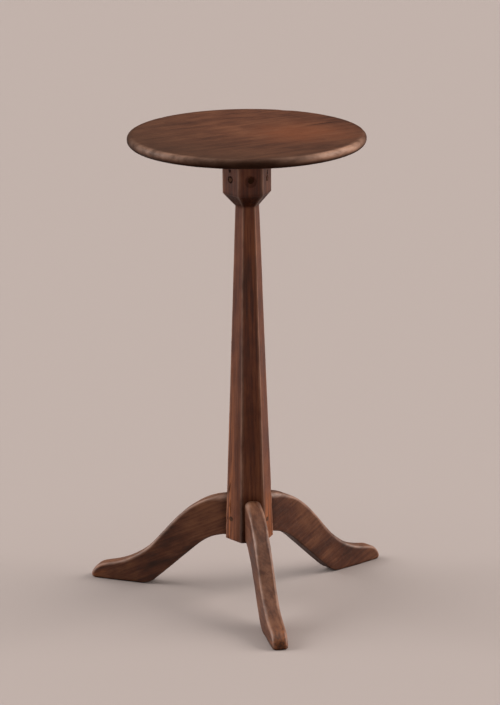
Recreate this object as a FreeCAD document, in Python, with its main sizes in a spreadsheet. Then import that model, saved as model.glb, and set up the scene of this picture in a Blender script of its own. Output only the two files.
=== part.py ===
import FreeCAD, Part
import math
import os

import Sketcher
from FreeCAD import Placement, Rotation, Vector

# Small tilt-top stand. A round board hinges on a block at the head of a
# six-sided tapered post that stands on three curved legs, one on every other face.
#
# Frame: millimetres, +Z up, floor at z = 0. The front leg points along -Y and
# the board, when tilted, shows its face towards +Y. X = Y = 0 is the middle of
# the footprint, so the post's axis stands axis_offset behind it. Every piece is
# drawn about the post's axis and then placed by that offset.

# alias, number, meaning
DIMENSIONS = [
    ("height", 686, "floor to the board's upper face"),
    ("axis_offset", 38.6, "post axis behind the middle of the footprint"),
    ("snug", 0.02, "radial clearance of a driven peg or pin"),
    ("running", 0.08, "radial clearance of a turning fit"),
    ("play", 0.3, "gap beside a face that swings past another"),
    # Board
    ("board_diameter", 339.6, "round board"),
    ("board_thick", 14.5, "round board"),
    ("board_round_up", 6.4, "rounding of the rim's upper edge"),
    ("board_round_low", 7.4, "rounding of the rim's lower edge"),
    # Post: a regular hexagon, with a flat to the front
    ("stock", 61.5, "across the flats at the post's foot and head"),
    ("post_foot", 87, "height of the post's lower end"),
    ("neck_height", 582, "height of the thinnest place"),
    ("neck_across", 30.2, "across the flats at the neck"),
    ("head_low", 601, "height where the head reaches full width"),
    ("mortise_side", 34, "square hole in the post's head"),
    ("mortise_depth", 41, "square hole in the post's head"),
    # Block that carries the pivot
    ("block_thick", 22, "pivot block"),
    ("block_width", 70, "pivot block, along the pivot"),
    ("block_front", 45, "front edge before the post's axis"),
    ("rebate_reach", 18, "depth of the catch rebate in the block's front"),
    ("rebate_lip", 6, "thickness of the lip over the rebate"),
    ("tenon_side", 33.6, "block's tenon"),
    ("tenon_length", 40, "block's tenon"),
    ("block_flat_end", 28, "where the block's upper face starts to round down"),
    # Pivot
    ("pivot_back", 34, "pivot axis behind the post's axis"),
    ("pivot_drop", 11, "pivot axis below the board's underside"),
    ("pin_radius", 5, "pivot pins"),
    ("pin_in_block", 24, "length of each pin inside the block"),
    # Battens
    ("batten_inner", 36, "batten's inner face from the middle"),
    ("batten_width", 22, "batten"),
    ("batten_depth", 20, "batten"),
    ("batten_front", 62, "batten's front end before the post's axis"),
    ("batten_back", 95, "batten's back end behind the post's axis"),
    ("bevel_run", 20, "bevel at each batten end, lengthways"),
    ("bevel_rise", 9, "bevel at each batten end, upwards"),
    # Fasteners
    ("screw_radius", 2.4, "batten screws"),
    ("screw_head_radius", 4.5, "batten screws"),
    ("screw_head_height", 2.8, "batten screws"),
    ("screw_length", 27.5, "batten screws"),
    ("screw_slot", 1.2, "width and depth of the screw slots"),
    ("head_peg_radius", 4, "pegs in the post's head"),
    ("head_peg_height", 623.5, "height of the pegs in the post's head"),
    ("head_peg_inner", 12, "inner end of those pegs from the axis"),
    ("leg_peg_radius", 3.5, "pegs through the leg keys"),
    ("leg_peg_height", 118.5, "height of those pegs"),
    ("leg_peg_out", 20, "distance of those pegs from the axis"),
    ("leg_peg_beyond", 14, "how far they run past the leg's middle plane"),
    # Turn button
    ("button_front", 64, "button's pivot before the post's axis"),
    ("button_length", 62, "button"),
    ("button_width", 16, "button"),
    ("button_thick", 8.9, "button"),
    ("spacer_thick", 6.3, "disc between the board and the button"),
    ("spacer_radius", 8, "disc between the board and the button"),
    ("button_screw_radius", 2.5, "button's screw"),
    ("button_head_radius", 5, "button's screw"),
    ("button_head_height", 2.8, "button's screw"),
    ("slip", 0.1, "gap above and below the button"),
    # Legs: outline in the plane of the leg, out from the post's axis and up
    ("leg_spread", 120, "degrees between legs"),
    ("leg_thick", 25, "leg"),
    ("leg_round", 3.2, "rounding of the leg's long edges"),
    ("root_in", 20, "inner end of the outline"),
    ("knee_out", 0, "centre of the knee's upper arc"),
    ("knee_up", 2, "centre of the knee's upper arc"),
    ("knee_radius", 152.5, "knee's upper arc"),
    ("ankle_out", 242.7, "centre of the ankle's upper arc"),
    ("ankle_up", 153.4, "centre of the ankle's upper arc"),
    ("ankle_radius", 129.5, "ankle's upper arc"),
    ("toe_out", 220.6, "centre of the toe's arc"),
    ("toe_up", -1.4, "centre of the toe's arc"),
    ("toe_radius", 26.4, "toe's arc"),
    ("heel_out", 168.2, "centre of the heel's arc, whose lowest point starts the sole"),
    ("heel_radius", 36, "heel's arc"),
    ("arch_out", 21, "centre of the arch"),
    ("arch_up", 7, "centre of the arch"),
    ("arch_radius", 84.3, "arch under the knee"),
    # Sliding dovetail at each leg's root
    ("key_low", 92, "lower end of the key"),
    ("key_high", 148, "upper end of the key"),
    ("key_in", 14, "inner face of the key from the axis"),
    ("key_out", 40, "outer end of the key's taper"),
    ("key_wide", 16, "width of the key at its inner face"),
    ("key_narrow", 9, "width of the key at its outer end"),
]

UNDERSIDE = "(dims.height - dims.board_thick)"
HEAD_TOP = "(dims.height - dims.board_thick - dims.block_thick)"
PIVOT_HEIGHT = "(dims.height - dims.board_thick - dims.pivot_drop)"
BATTEN_LOW = "(dims.height - dims.board_thick - dims.batten_depth)"
BUTTON_TOP = "(dims.height - dims.board_thick - dims.spacer_thick - dims.slip)"

# Screw places along each batten, from the post's axis
BATTEN_SCREWS = (-46, 8, 78)
SIDES = {"left": -1, "right": 1}
LEG_TURNS = {"front": 0, "right": 1, "left": -1}
# Faces of the post's head that hold a peg, in degrees from the front one
HEAD_PEG_TURNS = {"left": -60, "front": 0, "right": 60}

doc = FreeCAD.newDocument("tilt_top_table")
sheet = doc.addObject("Spreadsheet::Sheet", "dims")


def fill_sheet():
    for row, (alias, number, meaning) in enumerate(DIMENSIONS, 1):
        sheet.set(f"A{row}", alias)
        sheet.set(f"B{row}", str(number))
        sheet.setAlias(f"B{row}", alias)
        sheet.set(f"C{row}", meaning)
    doc.recompute()


def value(expression):
    """Number that an expression over the sheet stands for."""
    result = sheet.evalExpression(str(expression))
    return float(getattr(result, "Value", result))


# ---- Document helpers -------------------------------------------------------


def place_on_axis(piece, turn=None):
    """Stand a piece on the post's axis, turned about it by an expression."""
    piece.setExpression("Placement.Base.y", "dims.axis_offset")
    if turn:
        piece.setExpression("Placement.Rotation.Angle", turn)


def new_body(name, turn=None):
    body = doc.addObject("PartDesign::Body", name)
    body.Label = name
    place_on_axis(body, turn)
    return body


def new_sketch(body, name, role, lift="0", turn=None):
    """Sketch on one of the body's own planes, lifted along its normal."""
    sketch = body.newObject("Sketcher::SketchObject", name)
    plane = next(p for p in body.Origin.OriginFeatures if p.Role == role)
    sketch.AttachmentSupport = (plane, [""])
    sketch.MapMode = "FlatFace"
    sketch.setExpression("AttachmentOffset.Base.z", lift)
    if turn:
        sketch.setExpression("AttachmentOffset.Rotation.Angle", turn)
    return sketch


def bind(sketch, constraint, expression):
    """Add a dimension and tie it to an expression."""
    index = sketch.addConstraint(constraint)
    sketch.setExpression(f"Constraints[{index}]", expression)


def pin_point(sketch, geometry, point, across, up):
    """Hold a point of a sketch at two expressions from the origin."""
    for kind, expression in (("DistanceX", across), ("DistanceY", up)):
        dimension = Sketcher.Constraint(kind, -1, 1, geometry, point, value(expression))
        bind(sketch, dimension, expression)


def draw_polygon(sketch, corners):
    """Closed outline whose corners are pairs of expressions."""
    points = [Vector(value(across), value(up), 0) for across, up in corners]
    count = len(points)
    for i in range(count):
        sketch.addGeometry(Part.LineSegment(points[i], points[(i + 1) % count]))
    for i, (across, up) in enumerate(corners):
        sketch.addConstraint(Sketcher.Constraint("Coincident", i, 2, (i + 1) % count, 1))
        pin_point(sketch, i, 1, across, up)


def draw_circle(sketch, across, up, radius):
    centre = Vector(value(across), value(up), 0)
    circle = Part.Circle(centre, Vector(0, 0, 1), value(radius))
    index = sketch.addGeometry(circle)
    pin_point(sketch, index, 3, across, up)
    bind(sketch, Sketcher.Constraint("Radius", index, value(radius)), radius)


def draw_hexagon(sketch, across):
    """Regular hexagon of the given width across flats, with a flat to the front."""
    half = f"{across} / 2"
    side = f"{across} / 2 / sqrt(3)"
    corner = f"{across} / sqrt(3)"
    corners = [(corner, "0"), (side, half), (f"-{side}", half)]
    corners += [(f"-{corner}", "0"), (f"-{side}", f"-{half}"), (side, f"-{half}")]
    draw_polygon(sketch, corners)


def extrude(body, kind, name, sketch, length, symmetric=False, reverse=False):
    """Pad or Pocket a sketch."""
    feature = body.newObject(f"PartDesign::{kind}", name)
    feature.Profile = sketch
    feature.setExpression("Length", length)
    feature.SideType = "Symmetric" if symmetric else "One side"
    feature.Reversed = reverse
    sketch.Visibility = False
    return feature


def loft(body, kind, name, lower, upper):
    """Straight-sided loft between two sketches, Additive or Subtractive."""
    feature = body.newObject(f"PartDesign::{kind}Loft", name)
    feature.Profile = lower
    feature.Sections = [upper]
    feature.Ruled = True


def bore(body, name, radius, length, start, direction):
    """Round hole from a point along a direction, in the body's own frame."""
    cut = body.newObject("PartDesign::SubtractiveCylinder", name)
    cut.setExpression("Radius", radius)
    cut.setExpression("Height", length)
    cut.Placement = Placement(Vector(*start), Rotation(Vector(0, 0, 1), Vector(*direction)))
    return cut


def pattern_about_axis(body, name, original, count, total_angle):
    pattern = body.newObject("PartDesign::PolarPattern", name)
    pattern.Originals = [original]
    axis = next(a for a in body.Origin.OriginFeatures if a.Role == "Z_Axis")
    pattern.Axis = (axis, [""])
    pattern.Angle = total_angle
    pattern.Occurrences = count
    body.Tip = pattern
    return pattern


def primitive(kind, name, sizes, position, direction=(0, 0, 1)):
    """Part primitive with its sizes bound to the sheet."""
    shape = doc.addObject(f"Part::{kind}", name)
    for size, expression in sizes.items():
        shape.setExpression(size, expression)
    shape.Placement = Placement(
        Vector(*position), Rotation(Vector(0, 0, 1), Vector(*direction))
    )
    return shape


def combine(kind, name, base, tool):
    result = doc.addObject(f"Part::{kind}", name)
    result.Base = base
    result.Tool = tool
    return result


def group(name, members):
    """Identical fasteners kept together as separate solids."""
    compound = doc.addObject("Part::Compound", name)
    compound.Label = name
    compound.Links = members
    place_on_axis(compound)
    return compound


def turned(radius, degrees):
    """Point at a distance from the axis, turned from the front towards +X."""
    angle = math.radians(degrees)
    return (radius * math.sin(angle), -radius * math.cos(angle))


# ---- Post -------------------------------------------------------------------


def add_hexagon_taper(body, kind, name, turn=None):
    """Tapered shaft from the post's foot to its neck, added or cut away.

    Returns the sketch at the neck.
    """
    foot = new_sketch(body, f"{name}_foot", "XY_Plane", "dims.post_foot", turn)
    draw_hexagon(foot, "dims.stock")
    neck = new_sketch(body, f"{name}_neck", "XY_Plane", "dims.neck_height", turn)
    draw_hexagon(neck, "dims.neck_across")
    loft(body, kind, name, foot, neck)
    return neck


def make_post():
    body = new_body("post")
    neck = add_hexagon_taper(body, "Additive", "shaft")
    head = new_sketch(body, "head_outline", "XY_Plane", "dims.head_low")
    draw_hexagon(head, "dims.stock")
    loft(body, "Additive", "head_slopes", neck, head)
    extrude(body, "Pad", "head", head, f"{HEAD_TOP} - dims.head_low")

    mortise = new_sketch(body, "mortise_outline", "XY_Plane", HEAD_TOP)
    half = "dims.mortise_side / 2"
    corners = [(half, half), (f"-{half}", half), (f"-{half}", f"-{half}"), (half, f"-{half}")]
    draw_polygon(mortise, corners)
    extrude(body, "Pocket", "mortise", mortise, "dims.mortise_depth")

    # The front dovetail slot, drawn in a leg's frame turned to the front
    slot = new_sketch(body, "slot_outline", "XY_Plane", "dims.post_foot", "-90")
    draw_polygon(slot, key_corners())
    slot_cut = extrude(
        body, "Pocket", "slot", slot, "dims.key_high - dims.post_foot", reverse=True
    )
    pattern_about_axis(body, "slots", slot_cut, 3, 360)

    peg_hole = bore(
        body,
        "leg_peg_hole",
        "dims.leg_peg_radius + dims.snug",
        "dims.leg_peg_beyond + dims.stock",
        (value("dims.stock"), -value("dims.leg_peg_out"), value("dims.leg_peg_height")),
        (-1, 0, 0),
    )
    pattern_about_axis(body, "leg_peg_holes", peg_hole, 3, 360)

    for side in HEAD_PEG_TURNS:
        head_peg_hole(body, side)
    return body


def head_peg_hole(body, side):
    """Radial hole for one of the pegs that hold the block's tenon."""
    degrees = HEAD_PEG_TURNS[side]
    across, along = turned(value("dims.head_peg_inner"), degrees)
    direction = (*turned(1, degrees), 0)
    bore(
        body,
        f"head_peg_hole_{side}",
        "dims.head_peg_radius + dims.snug",
        "dims.stock",
        (across, along, value("dims.head_peg_height")),
        direction,
    )


def make_head_pegs():
    pegs = []
    sizes = {"Radius": "dims.head_peg_radius", "Height": "dims.stock / 2 - dims.head_peg_inner"}
    for side, degrees in HEAD_PEG_TURNS.items():
        across, along = turned(value("dims.head_peg_inner"), degrees)
        position = (across, along, value("dims.head_peg_height"))
        direction = (*turned(1, degrees), 0)
        pegs.append(primitive("Cylinder", f"head_peg_{side}", sizes, position, direction))
    return group("head_pegs", pegs)


# ---- Legs -------------------------------------------------------------------


def key_corners():
    """Dovetail section, out along +X from the post's axis."""
    wide = "dims.key_wide / 2"
    narrow = "dims.key_narrow / 2"
    corners = [("dims.key_in", f"-{wide}"), ("dims.key_out", f"-{narrow}")]
    corners += [("dims.key_out", narrow), ("dims.key_in", wide)]
    return corners


def tangent_points(first, second):
    """Ends of the line that joins two circles of a smooth path.

    A circle is (centre, radius), with a negative radius where the path turns
    clockwise round it.
    """
    (centre_a, radius_a), (centre_b, radius_b) = first, second
    apart = centre_b - centre_a
    step = radius_b - radius_a
    length = math.sqrt(apart.Length**2 - step**2)
    heading = math.atan2(apart.y, apart.x) - math.atan2(step, length)
    left = Vector(-math.sin(heading), math.cos(heading), 0)
    return centre_a - left * radius_a, centre_b - left * radius_b


def arc_between(centre, radius, start, end):
    """Counterclockwise arc from start to end."""
    angles = [math.atan2(p.y - centre.y, p.x - centre.x) for p in (start, end)]
    if angles[1] < angles[0]:
        angles[1] += 2 * math.pi
    return Part.ArcOfCircle(Part.Circle(centre, Vector(0, 0, 1), radius), *angles)


def draw_leg_outline(sketch):
    """S-shaped outline: five arcs joined by the straight lines tangent to them."""
    expressions = {
        "knee": ("dims.knee_out", "dims.knee_up", "dims.knee_radius"),
        "ankle": ("dims.ankle_out", "dims.ankle_up", "dims.ankle_radius"),
        "toe": ("dims.toe_out", "dims.toe_up", "dims.toe_radius"),
        "heel": ("dims.heel_out", "dims.heel_radius", "dims.heel_radius"),
        "arch": ("dims.arch_out", "dims.arch_up", "dims.arch_radius"),
    }
    turns = {"knee": -1, "ankle": 1, "toe": -1, "heel": -1, "arch": 1}
    centre = {k: Vector(value(e[0]), value(e[1]), 0) for k, e in expressions.items()}
    radius = {k: value(e[2]) for k, e in expressions.items()}
    circle = {k: (centre[k], radius[k] * turns[k]) for k in expressions}

    def on_circle(name, across, up=None):
        """Upper point of an arc at a distance out, or outer point at a height."""
        middle = centre[name]
        if up is None:
            rise = math.sqrt(radius[name] ** 2 - (across - middle.x) ** 2)
            return Vector(across, middle.y + rise, 0)
        reach = math.sqrt(radius[name] ** 2 - (up - middle.y) ** 2)
        return Vector(middle.x + reach, up, 0)

    root = value("dims.root_in")
    root_top = on_circle("knee", root)
    root_low = on_circle("arch", root)
    knee_end, ankle_start = tangent_points(circle["knee"], circle["ankle"])
    ankle_end, toe_start = tangent_points(circle["ankle"], circle["toe"])
    toe_tip = on_circle("toe", None, 0)
    sole_start = Vector(centre["heel"].x, 0, 0)
    heel_end, arch_start = tangent_points(circle["heel"], circle["arch"])

    arcs = {
        "knee": (knee_end, root_top),
        "ankle": (ankle_start, ankle_end),
        "toe": (toe_tip, toe_start),
        "heel": (heel_end, sole_start),
        "arch": (arch_start, root_low),
    }
    index = {}
    for name, (start, end) in arcs.items():
        arc = arc_between(centre[name], radius[name], start, end)
        index[name] = sketch.addGeometry(arc)
    lines = {
        "shin": (knee_end, ankle_start),
        "instep": (ankle_end, toe_start),
        "sole": (toe_tip, sole_start),
        "calf": (heel_end, arch_start),
        "root": (root_low, root_top),
    }
    for name, ends in lines.items():
        index[name] = sketch.addGeometry(Part.LineSegment(*ends))

    # Which end of a line meets which end of an arc
    smooth = [("shin", 1, "knee", 1), ("shin", 2, "ankle", 1), ("instep", 1, "ankle", 2)]
    smooth += [("instep", 2, "toe", 2), ("sole", 2, "heel", 2)]
    smooth += [("calf", 1, "heel", 1), ("calf", 2, "arch", 1)]
    corners = [("sole", 1, "toe", 1), ("root", 1, "arch", 2), ("root", 2, "knee", 2)]
    for kind, joints in (("Tangent", smooth), ("Coincident", corners)):
        for line, line_end, arc, arc_end in joints:
            ends = (index[line], line_end, index[arc], arc_end)
            sketch.addConstraint(Sketcher.Constraint(kind, *ends))
    sketch.addConstraint(Sketcher.Constraint("Horizontal", index["sole"]))
    sketch.addConstraint(Sketcher.Constraint("Vertical", index["root"]))
    root_place = Sketcher.Constraint("DistanceX", -1, 1, index["root"], 1, root)
    bind(sketch, root_place, "dims.root_in")
    for name, (across, up, size) in expressions.items():
        pin_point(sketch, index[name], 3, across, up)
        bind(sketch, Sketcher.Constraint("Radius", index[name], radius[name]), size)


def make_leg(side):
    name = f"leg_{side}"
    turn = f"{LEG_TURNS[side]} * dims.leg_spread - 90"
    body = new_body(name, turn)
    outline = new_sketch(body, f"{name}_outline", "XZ_Plane")
    draw_leg_outline(outline)
    blank = extrude(body, "Pad", f"{name}_blank", outline, "dims.leg_thick", symmetric=True)
    doc.recompute()

    # Long edges on the two cheeks, all but the short one at the root
    cheek = value("dims.leg_thick / 2")
    root = value("dims.root_in")
    edges = []
    for number, edge in enumerate(blank.Shape.Edges, 1):
        box = edge.BoundBox
        on_cheek = box.YLength < 1e-4 and abs(abs(box.YMin) - cheek) < 1e-4
        at_root = box.XMax < root + 1e-4
        if on_cheek and not at_root:
            edges.append(f"Edge{number}")
    rounding = body.newObject("PartDesign::Fillet", f"{name}_rounding")
    rounding.Base = (blank, edges)
    rounding.setExpression("Radius", "dims.leg_round")

    # The shoulder fits the post's tapering faces
    add_hexagon_taper(body, "Subtractive", f"{name}_shoulder", f"-({turn})")
    key = new_sketch(body, f"{name}_key_outline", "XY_Plane", "dims.key_low")
    draw_polygon(key, key_corners())
    extrude(body, "Pad", f"{name}_key", key, "dims.key_high - dims.key_low")
    start = (value("dims.leg_peg_out"), -value("dims.leg_thick"), value("dims.leg_peg_height"))
    bore(
        body,
        f"{name}_peg_hole",
        "dims.leg_peg_radius + dims.snug",
        "2 * dims.leg_thick",
        start,
        (0, 1, 0),
    )
    return body


def make_leg_pegs():
    """One peg across each leg's key, pared flush with the post's face."""
    outer = doc.addObject("PartDesign::Body", "post_outside")
    add_hexagon_taper(outer, "Additive", "outside")
    pegs = []
    height = value("dims.leg_peg_height")
    for side, turns in LEG_TURNS.items():
        degrees = turns * value("dims.leg_spread")
        out = turned(value("dims.leg_peg_out"), degrees)
        entry = turned(1, degrees + 90)
        beyond = value("dims.leg_peg_beyond")
        start = (out[0] - entry[0] * beyond, out[1] - entry[1] * beyond, height)
        sizes = {"Radius": "dims.leg_peg_radius", "Height": "dims.leg_peg_beyond + dims.stock"}
        dowel = primitive("Cylinder", f"dowel_{side}", sizes, start, (*entry, 0))
        pegs.append(combine("Common", f"leg_peg_{side}", dowel, outer))
    return group("leg_pegs", pegs)


# ---- Pivot block and pins ---------------------------------------------------


def make_block():
    body = new_body("pivot_block")
    profile = new_sketch(body, "block_profile", "YZ_Plane")
    draw_block_profile(profile)
    extrude(body, "Pad", "block_blank", profile, "dims.block_width", symmetric=True)

    tenon = new_sketch(body, "tenon_outline", "XY_Plane", HEAD_TOP)
    half = "dims.tenon_side / 2"
    corners = [(half, half), (f"-{half}", half), (f"-{half}", f"-{half}"), (half, f"-{half}")]
    draw_polygon(tenon, corners)
    extrude(body, "Pad", "tenon", tenon, "dims.tenon_length", reverse=True)

    for name, sign in SIDES.items():
        inner = sign * (value("dims.block_width / 2") - value("dims.pin_in_block"))
        start = (inner, value("dims.pivot_back"), value(PIVOT_HEIGHT))
        bore(
            body,
            f"pin_hole_{name}",
            "dims.pin_radius + dims.snug",
            "dims.block_width",
            start,
            (sign, 0, 0),
        )
    for side in HEAD_PEG_TURNS:
        head_peg_hole(body, side)
    return body


def draw_block_profile(sketch):
    """Side of the block: catch rebate at the front, rounded back about the pivot."""
    back = "dims.pivot_back"
    swing = "(dims.pivot_drop - dims.play)"
    rebate_back = "dims.rebate_reach - dims.block_front"
    lip_low = f"{UNDERSIDE} - dims.rebate_lip"
    corners = [
        (f"{back} + {swing}", PIVOT_HEIGHT),
        (f"{back} + {swing}", HEAD_TOP),
        (rebate_back, HEAD_TOP),
        (rebate_back, lip_low),
        ("-dims.block_front", lip_low),
        ("-dims.block_front", UNDERSIDE),
        ("dims.block_flat_end", UNDERSIDE),
        (back, f"{PIVOT_HEIGHT} + {swing}"),
    ]
    points = [Vector(value(across), value(up), 0) for across, up in corners]
    for i in range(len(points) - 1):
        sketch.addGeometry(Part.LineSegment(points[i], points[i + 1]))
        pin_point(sketch, i, 1, *corners[i])
        if i:
            sketch.addConstraint(Sketcher.Constraint("Coincident", i - 1, 2, i, 1))
    last = len(points) - 2
    pin_point(sketch, last, 2, *corners[-1])
    centre = Vector(value(back), value(PIVOT_HEIGHT), 0)
    arc = sketch.addGeometry(arc_between(centre, value(swing), points[0], points[-1]))
    sketch.addConstraint(Sketcher.Constraint("Coincident", arc, 1, 0, 1))
    sketch.addConstraint(Sketcher.Constraint("Coincident", arc, 2, last, 2))
    bind(sketch, Sketcher.Constraint("Radius", arc, value(swing)), swing)


def make_pin(side):
    """Pivot pin, fast in the block and turning in the batten."""
    name = f"pivot_pin_{side}"
    sign = SIDES[side]
    inner = value("dims.block_width / 2 - dims.pin_in_block")
    start = (sign * inner, value("dims.pivot_back + dims.axis_offset"), value(PIVOT_HEIGHT))
    reach = "dims.batten_inner + dims.batten_width"
    length = f"{reach} - (dims.block_width / 2 - dims.pin_in_block)"
    sizes = {"Radius": "dims.pin_radius", "Height": length}
    pin = primitive("Cylinder", name, sizes, start, (sign, 0, 0))
    pin.Label = name
    pin.setExpression("Placement.Base.y", "dims.pivot_back + dims.axis_offset")
    return pin


# ---- Board and battens ------------------------------------------------------


def draw_board_profile(sketch):
    """Half section: axis, underside, lower rounding, rim, upper rounding, face."""
    radius = "dims.board_diameter / 2"
    corners = [
        ("0", "dims.height"),
        ("0", UNDERSIDE),
        (f"{radius} - dims.board_round_low", UNDERSIDE),
        (radius, f"{UNDERSIDE} + dims.board_round_low"),
        (radius, "dims.height - dims.board_round_up"),
        (f"{radius} - dims.board_round_up", "dims.height"),
    ]
    points = [Vector(value(across), value(up), 0) for across, up in corners]
    roundings = {
        2: ("dims.board_round_low", Vector(points[2].x, points[3].y, 0)),
        4: ("dims.board_round_up", Vector(points[5].x, points[4].y, 0)),
    }
    for i, start in enumerate(points):
        end = points[(i + 1) % len(points)]
        if i in roundings:
            size, centre = roundings[i]
            sketch.addGeometry(arc_between(centre, value(size), start, end))
        else:
            sketch.addGeometry(Part.LineSegment(start, end))
    for i, corner in enumerate(corners):
        sketch.addConstraint(Sketcher.Constraint("Coincident", i, 2, (i + 1) % len(corners), 1))
        pin_point(sketch, i, 1, *corner)
    for i, (size, _) in roundings.items():
        bind(sketch, Sketcher.Constraint("Radius", i, value(size)), size)


def make_board():
    body = new_body("top_board")
    profile = new_sketch(body, "board_profile", "XZ_Plane")
    draw_board_profile(profile)
    turning = body.newObject("PartDesign::Revolution", "board_turning")
    turning.Profile = profile
    turning.ReferenceAxis = (profile, ["V_Axis"])
    turning.Angle = 360

    pilots = new_sketch(body, "pilot_holes", "XY_Plane", UNDERSIDE)
    middle = "(dims.batten_inner + dims.batten_width / 2)"
    for sign in SIDES.values():
        for along in BATTEN_SCREWS:
            radius = "dims.screw_radius + dims.snug"
            draw_circle(pilots, f"{sign} * {middle}", str(along), radius)
    into_board = "dims.screw_length - dims.batten_depth"
    extrude(body, "Pocket", "pilots", pilots, into_board, reverse=True)
    button = new_sketch(body, "button_pilot_hole", "XY_Plane", UNDERSIDE)
    draw_circle(button, "0", "-dims.button_front", "dims.button_screw_radius + dims.snug")
    extrude(body, "Pocket", "button_pilot", button, into_board, reverse=True)
    return body


def make_batten(side):
    name = f"batten_{side}"
    sign = SIDES[side]
    body = new_body(name)
    middle = "(dims.batten_inner + dims.batten_width / 2)"
    profile = new_sketch(body, f"{name}_profile", "YZ_Plane", f"{sign} * {middle}")
    bevel_top = f"{BATTEN_LOW} + dims.bevel_rise"
    corners = [
        ("-dims.batten_front", UNDERSIDE),
        ("-dims.batten_front", bevel_top),
        ("dims.bevel_run - dims.batten_front", BATTEN_LOW),
        ("dims.batten_back - dims.bevel_run", BATTEN_LOW),
        ("dims.batten_back", bevel_top),
        ("dims.batten_back", UNDERSIDE),
    ]
    draw_polygon(profile, corners)
    extrude(body, "Pad", f"{name}_blank", profile, "dims.batten_width", symmetric=True)
    across = sign * value(middle)
    low = value(BATTEN_LOW)
    for number, along in enumerate(BATTEN_SCREWS):
        bore(
            body,
            f"{name}_screw_hole_{number}",
            "dims.screw_radius + dims.snug",
            "2 * dims.batten_depth",
            (across, along, low),
            (0, 0, 1),
        )
        sink = body.newObject("PartDesign::SubtractiveCone", f"{name}_countersink_{number}")
        sink.setExpression("Radius1", "dims.screw_head_radius + dims.snug")
        sink.setExpression("Radius2", "dims.screw_radius + dims.snug")
        sink.setExpression("Height", "dims.screw_head_height")
        sink.Placement = Placement(Vector(across, along, low), Rotation())
    bore(
        body,
        f"{name}_pivot_hole",
        "dims.pin_radius + dims.running",
        "2 * dims.batten_width",
        (across - value("dims.batten_width"), value("dims.pivot_back"), value(PIVOT_HEIGHT)),
        (1, 0, 0),
    )
    return body


def make_screw(name, position, head_sizes, shank_sizes, head_height):
    """Wood screw pointing up, its slotted head's lower face at a position."""
    head = primitive("Cone", f"{name}_head", head_sizes, position)
    x, y, z = position
    shank = primitive("Cylinder", f"{name}_shank", shank_sizes, (x, y, z + head_height))
    whole = combine("Fuse", f"{name}_whole", head, shank)
    width = value("dims.screw_slot")
    length = 4 * value("dims.screw_head_radius")
    slot_sizes = {"Width": "dims.screw_slot", "Height": "dims.screw_slot"}
    slot_sizes["Length"] = "4 * dims.screw_head_radius"
    slot = primitive("Box", f"{name}_slot", slot_sizes, (x - length / 2, y - width / 2, z))
    return combine("Cut", name, whole, slot)


def make_batten_screws():
    screws = []
    head_height = value("dims.screw_head_height")
    head_sizes = {
        "Radius1": "dims.screw_head_radius",
        "Radius2": "dims.screw_radius",
        "Height": "dims.screw_head_height",
    }
    shank_sizes = {
        "Radius": "dims.screw_radius",
        "Height": "dims.screw_length - dims.screw_head_height",
    }
    for side, sign in SIDES.items():
        across = sign * value("dims.batten_inner + dims.batten_width / 2")
        for number, along in enumerate(BATTEN_SCREWS):
            position = (across, along, value(BATTEN_LOW))
            name = f"screw_{side}_{number}"
            screws.append(make_screw(name, position, head_sizes, shank_sizes, head_height))
    return group("batten_screws", screws)


# ---- Turn button ------------------------------------------------------------


def make_button():
    body = new_body("turn_button")
    outline = new_sketch(body, "button_outline", "XY_Plane", f"{BUTTON_TOP} - dims.button_thick")
    half = "dims.button_width / 2"
    reach = "(dims.button_length - dims.button_width) / 2"
    front = "-dims.button_front"
    radius = value(half)
    left = Vector(-value(reach), value(front), 0)
    right = Vector(value(reach), value(front), 0)
    side = Vector(0, radius, 0)
    outline.addGeometry(arc_between(right, radius, right - side, right + side))
    outline.addGeometry(Part.LineSegment(right + side, left + side))
    outline.addGeometry(arc_between(left, radius, left + side, left - side))
    outline.addGeometry(Part.LineSegment(left - side, right - side))
    for i in range(4):
        outline.addConstraint(Sketcher.Constraint("Tangent", i, 2, (i + 1) % 4, 1))
    pin_point(outline, 0, 3, reach, front)
    pin_point(outline, 2, 3, f"-{reach}", front)
    bind(outline, Sketcher.Constraint("Radius", 0, radius), half)
    extrude(body, "Pad", "button_blank", outline, "dims.button_thick")
    bore(
        body,
        "button_hole",
        "dims.button_screw_radius + dims.running",
        "2 * dims.button_thick",
        (0, value(front), value(f"{BUTTON_TOP} - 1.5 * dims.button_thick")),
        (0, 0, 1),
    )
    return body


def make_spacer():
    """Disc that holds the button below the lip of the block."""
    position = (0, -value("dims.button_front"), value(f"{UNDERSIDE} - dims.spacer_thick"))
    sizes = {"Radius": "dims.spacer_radius", "Height": "dims.spacer_thick"}
    disc = primitive("Cylinder", "spacer_disc", sizes, position)
    sizes = {"Radius": "dims.button_screw_radius + dims.snug", "Height": "dims.spacer_thick"}
    hole = primitive("Cylinder", "spacer_hole", sizes, position)
    spacer = combine("Cut", "button_spacer", disc, hole)
    spacer.Label = "button_spacer"
    place_on_axis(spacer)
    return spacer


def make_button_screw():
    low = f"{BUTTON_TOP} - dims.button_thick - dims.slip - dims.button_head_height"
    head_height = value("dims.button_head_height")
    position = (0, -value("dims.button_front"), value(low))
    head_sizes = {
        "Radius1": "dims.button_head_radius * 0.6",
        "Radius2": "dims.button_head_radius",
        "Height": "dims.button_head_height",
    }
    tip = f"{UNDERSIDE} + dims.screw_length - dims.batten_depth"
    shank_sizes = {
        "Radius": "dims.button_screw_radius",
        "Height": f"{tip} - ({low}) - dims.button_head_height",
    }
    screw = make_screw("button_screw", position, head_sizes, shank_sizes, head_height)
    screw.Label = "button_screw"
    place_on_axis(screw)
    return screw


# ---- Check and export -------------------------------------------------------


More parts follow.
